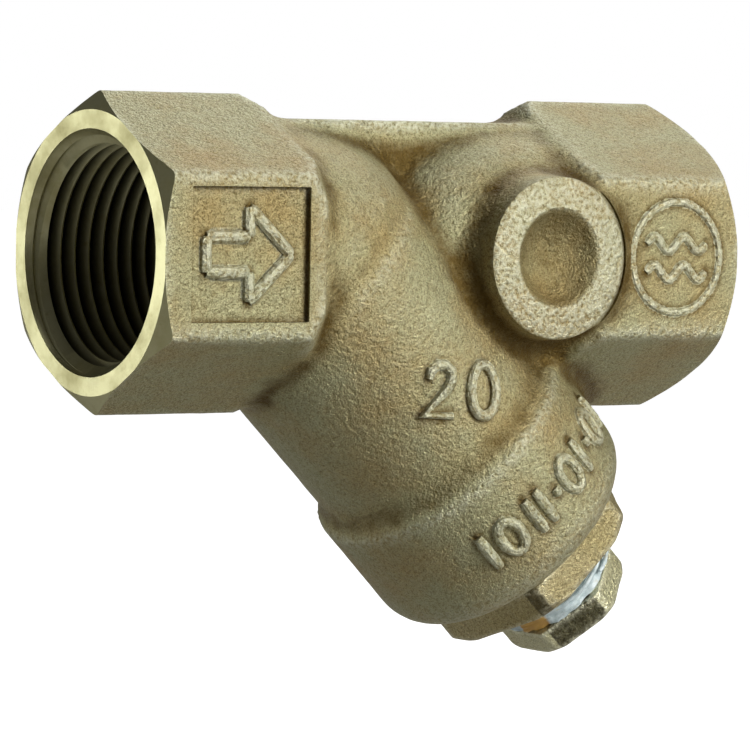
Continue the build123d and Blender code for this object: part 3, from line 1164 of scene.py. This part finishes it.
cap_bore = coat(turned("cap_bore", bore_points, steps=96), machined_bronze)
combine(cap, cap_bore, "DIFFERENCE")
paint_shape(cap, cap_map, 0.012 * MM, 0.014 * MM)


def darken_between_angles(piece, first, last, beyond, amount):
    """Darken the skin between two angles, counted in degrees from the front, beyond a radius."""
    hollow = piece.data.attributes["hollow"]
    for vertex in piece.data.vertices:
        angle = math.degrees(math.atan2(vertex.co.z, -vertex.co.y))
        if first < angle < last and math.hypot(vertex.co.y, vertex.co.z) > beyond:
            at_least(hollow, vertex, amount)


darken_between_angles(cap, -39, -31.5, 11 * MM, 0.9)
onto_branch(cap)
smooth_shaded(cap, 35)
report(cap)
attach(cap, "cap")
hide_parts("retainer_cap")

# %% Blow-off plug
PLUG_THREAD = 6.1 * MM
PLUG_END = CAP_OUTER_FACE - 5.6 * MM
plug = hexagon_head("strainer_plug", 13.9 * MM, PLUG_HEX_START, 3.3 * MM, 30, 0.5 * MM, plug_brass)
plug_map = shape_map(plug, 3)
PLUG_PITCH = 25.4 / 18 * MM
stem = threaded_bar("plug_stem", PLUG_PITCH, 5.35 * MM, PLUG_THREAD, PLUG_END, PLUG_HEX_START + 0.6 * MM, 56)
coat(stem, machined_bronze)
combine(plug, stem, "UNION")
core_end = PLUG_HEX_START - 2.5 * MM
core_points = [(PLUG_END - MM, 0), (PLUG_END - MM, 3.4 * MM), (core_end - MM, 3.4 * MM), (core_end, 0)]
combine(plug, coat(turned("plug_core", core_points, steps=64), machined_bronze), "DIFFERENCE")
paint_shape(plug, plug_map, 0.012 * MM, 0.014 * MM)
# Painted shade: the facet below the plug's front corner is darkened almost to black.
darken_between_angles(plug, -54, -3, 6.6 * MM, 0.95)
onto_branch(plug)
smooth_shaded(plug, 35)
report(plug)
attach(plug, "plug")
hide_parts("blow_off_plug")

# %% [markdown]
# ## Gasket and thread tape
# Both are rings, so their outline is a closed loop that never meets the axis. The tape is wound in the
# thread and is squeezed out in a ragged roll where the plug enters the cap, with a loose strand lying
# along it. Random ridges in its outline make the turns of the film, and noise makes them uneven.

# %% Gasket and thread tape
def turned_ring(name, points, steps=128):
    """A solid of revolution from a closed outline that keeps clear of the axis."""
    ring = outline(name, points + points[:1])
    apply_modifier(
        ring, "SCREW", axis="X", angle=math.tau, steps=steps, render_steps=steps,
        use_merge_vertices=True, merge_threshold=0.001 * MM)
    return tidy_solid(ring)


low = COLLAR_END - GASKET_RECESS
high = low + 1.3 * MM
inner = CAP_THREAD + RUNNING
gasket_points = [(low, inner), (low, GASKET_RADIUS - 0.2 * MM), (low + 0.2 * MM, GASKET_RADIUS)]
gasket_points += [(low + 0.65 * MM, GASKET_RADIUS + 0.03 * MM), (high - 0.2 * MM, GASKET_RADIUS)]
gasket_points += [(high, GASKET_RADIUS - 0.2 * MM), (high, inner)]
gasket = onto_branch(coat(turned_ring("cap_gasket_ring", gasket_points), gasket_film))
smooth_shaded(gasket, 30)
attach(gasket, "gasket")
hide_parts("cap_gasket")
report(gasket)

dice = random.Random(12)
tape_start = PLUG_END + 0.6 * MM
tape_end = PLUG_HEX_START - 0.08 * MM
steps_along = 44
tape_inner = PLUG_THREAD + 0.06 * MM
tape_outer = []
for i in range(steps_along + 1):
    station = tape_start + (tape_end - tape_start) * i / steps_along
    out = station - (CAP_OUTER_FACE + 0.3 * MM)
    swollen = 0 if out < 0 else 0.55 * MM * min(1, out / (0.7 * MM)) + dice.uniform(-0.16, 0.16) * MM
    tape_outer.append((station, 6.38 * MM + dice.uniform(0, 0.08) * MM + swollen))
tape_points = [(tape_start, tape_inner)] + tape_outer + [(tape_end, tape_inner)]
tape = coat(turned_ring("wound_tape", tape_points, steps=112), thread_tape)
rumple = bpy.data.textures.new("tape_rumple", "CLOUDS")
rumple.noise_scale = 1.5 * MM
rumple.noise_depth = 3
exposed = tape.vertex_groups.new(name="exposed")
for vertex in tape.data.vertices:
    if vertex.co.x > CAP_OUTER_FACE + 0.4 * MM and math.hypot(vertex.co.y, vertex.co.z) > 6.5 * MM:
        exposed.add([vertex.index], min(1, (vertex.co.x - CAP_OUTER_FACE - 0.4 * MM) / MM), "REPLACE")
apply_modifier(
    tape, "DISPLACE", texture=rumple, texture_coords="LOCAL", strength=0.9 * MM, mid_level=0.5,
    vertex_group="exposed")
tape.vertex_groups.clear()
onto_branch(tape)


def loose_strand(name, start_angle, end_angle, station, lift):
    """A narrow flat strand of film lying round the plug, made as a thin swept strip."""
    points = []
    count = 28
    for i in range(count + 1):
        t = i / count
        angle = math.radians(start_angle + (end_angle - start_angle) * t)
        radius = 7.35 * MM + lift * math.sin(math.pi * t) + dice.uniform(-0.05, 0.05) * MM
        along = station + 0.45 * MM * math.sin(5 * t + start_angle)
        points.append(Vector((along, -radius * math.cos(angle), radius * math.sin(angle))))
    strand = stroke(points, 0.5 * MM)
    strand.name = name
    coat(strand, thread_tape)
    return onto_branch(strand)


strands = [
    loose_strand("strand_a", -88, 62, CAP_OUTER_FACE + 1.5 * MM, 0.5 * MM),
    loose_strand("strand_b", -50, 78, CAP_OUTER_FACE + 2.5 * MM, 0.55 * MM),
    loose_strand("strand_c", 20, 95, CAP_OUTER_FACE + 3.4 * MM, 0.5 * MM)]
tape = joined([tape] + strands, "wound_tape")
sealant = tape.data.attributes.new("hollow", "FLOAT", "POINT")
for vertex in tape.data.vertices:
    local = Matrix.Rotation(-BRANCH_TURN, 3, "Y") @ (vertex.co - crossing)
    angle = math.degrees(math.atan2(local.z, -local.y))
    sealant.data[vertex.index].value = 0.9 if -82 < angle < -50 and local.x > CAP_OUTER_FACE + 1.6 * MM else 0
smooth_shaded(tape, 50)
report(tape)
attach(tape, "tape")
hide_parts("plug_thread_tape")

# %% [markdown]
# ## The screen
# The perforated tube, its two bands and the mesh liner are sheet metal with plain shapes, which the CAD
# solids already have, so they stay as they are and only get their steel. They show through the mouths
# and when the cap is unscrewed.

# %% Steel for the screen
for node in ("screen_perforated_tube", "screen_top_band", "screen_bottom_band", "screen_mesh_liner"):
    steel = mesh_steel if node == "screen_mesh_liner" else screen_steel
    solid = bpy.data.objects[node]
    if not solid.material_slots:
        solid.data.materials.append(steel)
    for place_for_steel in solid.material_slots:
        place_for_steel.material = steel
    print(node, "slots", len(solid.material_slots))

# %% Camera
CAMERA_TURN = math.radians(35.03)
CAMERA_TILT = math.radians(2.6)
CAMERA_ROLL = math.radians(1.01)
AIM = Vector((INLET_FACE + 37.61 * MM, 0, -13.5 * MM))
DISTANCE = 544.5 * MM
SENSOR_WIDTH = 36
FOCAL_LENGTH = 234.6
level = math.cos(CAMERA_TILT)
view = Vector((math.sin(CAMERA_TURN) * level, math.cos(CAMERA_TURN) * level, -math.sin(CAMERA_TILT)))
right = Vector((math.cos(CAMERA_TURN), -math.sin(CAMERA_TURN), 0))
up = right.cross(view)
cosine = math.cos(CAMERA_ROLL)
sine = math.sin(CAMERA_ROLL)
right, up = right * cosine + up * sine, up * cosine - right * sine
bpy.ops.object.select_all(action="DESELECT")
bpy.ops.object.camera_add()
camera = bpy.context.active_object
facing = Matrix((right, up, -view)).transposed().to_4x4()
camera.matrix_world = Matrix.Translation(AIM - view * DISTANCE) @ facing
camera.data.sensor_width = SENSOR_WIDTH
camera.data.lens = FOCAL_LENGTH
camera.data.clip_start = 0.01
bpy.context.scene.camera = camera

# %% [markdown]
# ## Floor and light
# The strainer hangs a little above a plain pale floor, low enough that the floor never hides the cap and
# plug when they are screwed out. The key light stands to the right of the camera and above it, so the
# front and upper flats are the brightest faces. A weaker one from the left picks out the turned end, two
# small ones edge the top and the back, and the room is dim, which leaves the dark side of the branch dark.

# %% Floor
FLOOR_DROP = 12 * MM  # the cap and plug sink by 11 mm when they are both screwed out
bpy.ops.object.select_all(action="DESELECT")
bpy.ops.mesh.primitive_plane_add(size=8, location=(0, 0, cad_box[0][2] - FLOOR_DROP))
floor = named("studio_floor")
pale_floor, shader, place = finish("pale_floor")
shader.inputs["Base Color"].default_value = (0.45, 0.45, 0.45, 1)
shader.inputs["Roughness"].default_value = 0.9
shader.inputs["Specular IOR Level"].default_value = 0.1
shader.inputs["Emission Color"].default_value = (1, 1, 1, 1)
ray = add_node(pale_floor, "LightPath")
glow = calculate(pale_floor, "MULTIPLY", ray.outputs["Is Camera Ray"], 1.0)
link(pale_floor, glow, shader.inputs["Emission Strength"])
coat(floor, pale_floor)

# %% Lights
def studio_light(name, turn, height, distance, size, power, tint=(1, 1, 1)):
    """An area light that looks at the strainer; turn is counted from the camera's side."""
    bpy.ops.object.select_all(action="DESELECT")
    bpy.ops.object.light_add(type="AREA")
    light = named(name)
    towards = Matrix.Rotation(math.radians(turn), 3, "Z") @ Vector((-view.x, -view.y, 0)).normalized()
    rise = Vector((0, 0, math.sin(math.radians(height))))
    place = AIM + (towards * math.cos(math.radians(height)) + rise) * distance
    light.location = place
    light.rotation_euler = (place - AIM).to_track_quat("Z", "Y").to_euler()
    light.data.size = size
    light.data.energy = power
    light.data.color = tint
    return light


studio_light("key", 56, 20, 0.55, 0.22, 3.6, (1.0, 0.99, 0.95))
studio_light("side", -98, -2, 0.5, 0.22, 0.75, (0.97, 1.0, 0.98))
studio_light("top", 60, 75, 0.5, 0.30, 0.35)
studio_light("back", 165, 45, 0.5, 0.30, 0.8)

world = bpy.context.scene.world or bpy.data.worlds.new("World")
bpy.context.scene.world = world
world.use_nodes = True
nodes = world.node_tree.nodes
links = world.node_tree.links
nodes.clear()
seen = nodes.new("ShaderNodeBackground")
seen.inputs["Color"].default_value = (1, 1, 1, 1)
seen.inputs["Strength"].default_value = 1
around = nodes.new("ShaderNodeBackground")
around.inputs["Color"].default_value = (1, 1, 1, 1)
around.inputs["Strength"].default_value = 0.06
ray = nodes.new("ShaderNodeLightPath")
choose = nodes.new("ShaderNodeMixShader")
output = nodes.new("ShaderNodeOutputWorld")
links.new(ray.outputs["Is Camera Ray"], choose.inputs["Fac"])
links.new(around.outputs[0], choose.inputs[1])
links.new(seen.outputs[0], choose.inputs[2])
links.new(choose.outputs[0], output.inputs["Surface"])
bpy.context.scene.view_settings.view_transform = "Standard"
